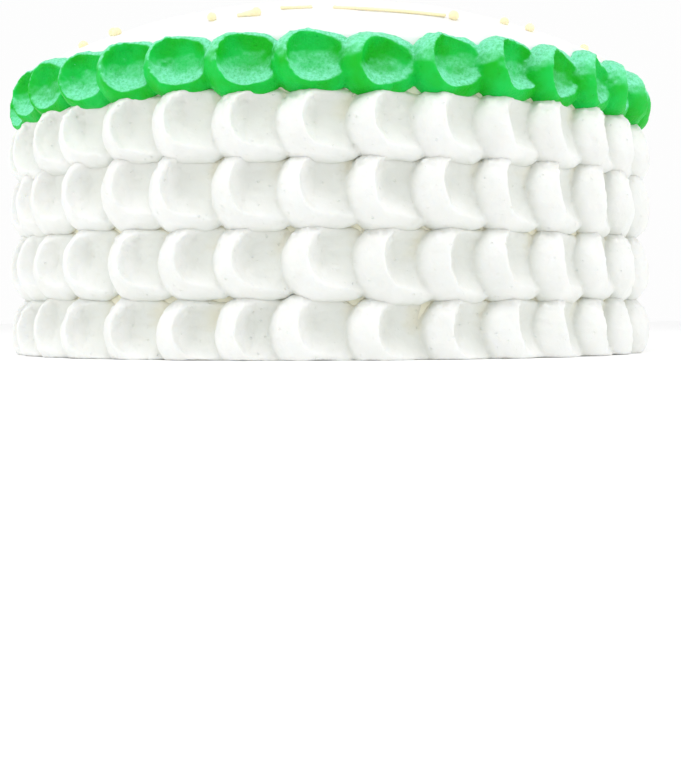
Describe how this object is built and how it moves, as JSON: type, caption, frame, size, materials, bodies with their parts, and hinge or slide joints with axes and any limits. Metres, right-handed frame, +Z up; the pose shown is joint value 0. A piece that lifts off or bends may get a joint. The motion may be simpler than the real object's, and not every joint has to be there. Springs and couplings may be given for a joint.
{
  "type": "birthday cake",
  "caption": "Round domed birthday cake in white buttercream, its side covered by rows of piped and smeared petals, the top row green, with small yellow piped marks on the dome.",
  "frame": {"origin": "centre of the underside, on the surface that the cake stands on", "axes": "+Z up along the cake's axis, -Y towards the front with the first group of yellow marks, +X to the right of the front"},
  "size_m": [0.23, 0.2292, 0.121],
  "materials": {
    "white_buttercream": "whipped white buttercream, satin, with fine air pits",
    "green_buttercream": "bright green buttercream, satin, paler where it is smeared thin",
    "yellow_icing": "pale yellow piped icing, satin"
  },
  "bodies": {
    "root": {"cake_body": "white_buttercream", "white_petals_1": "white_buttercream", "white_petals_2": "white_buttercream", "white_petals_3": "white_buttercream", "white_petals_4": "white_buttercream", "green_petals": "green_buttercream", "yellow_arc_1": "yellow_icing", "yellow_dash_1": "yellow_icing", "yellow_comma_1": "yellow_icing", "yellow_drop_a_1": "yellow_icing", "yellow_drop_b_1": "yellow_icing", "yellow_drop_c_1": "yellow_icing", "yellow_drop_d_1": "yellow_icing", "yellow_arc_2": "yellow_icing", "yellow_dash_2": "yellow_icing", "yellow_comma_2": "yellow_icing", "yellow_drop_a_2": "yellow_icing", "yellow_drop_b_2": "yellow_icing", "yellow_drop_c_2": "yellow_icing", "yellow_drop_d_2": "yellow_icing", "yellow_arc_3": "yellow_icing", "yellow_dash_3": "yellow_icing", "yellow_comma_3": "yellow_icing", "yellow_drop_a_3": "yellow_icing", "yellow_drop_b_3": "yellow_icing", "yellow_drop_c_3": "yellow_icing", "yellow_drop_d_3": "yellow_icing", "yellow_arc_4": "yellow_icing", "yellow_dash_4": "yellow_icing", "yellow_comma_4": "yellow_icing", "yellow_drop_a_4": "yellow_icing", "yellow_drop_b_4": "yellow_icing", "yellow_drop_c_4": "yellow_icing", "yellow_drop_d_4": "yellow_icing"}
  },
  "joints": []
}
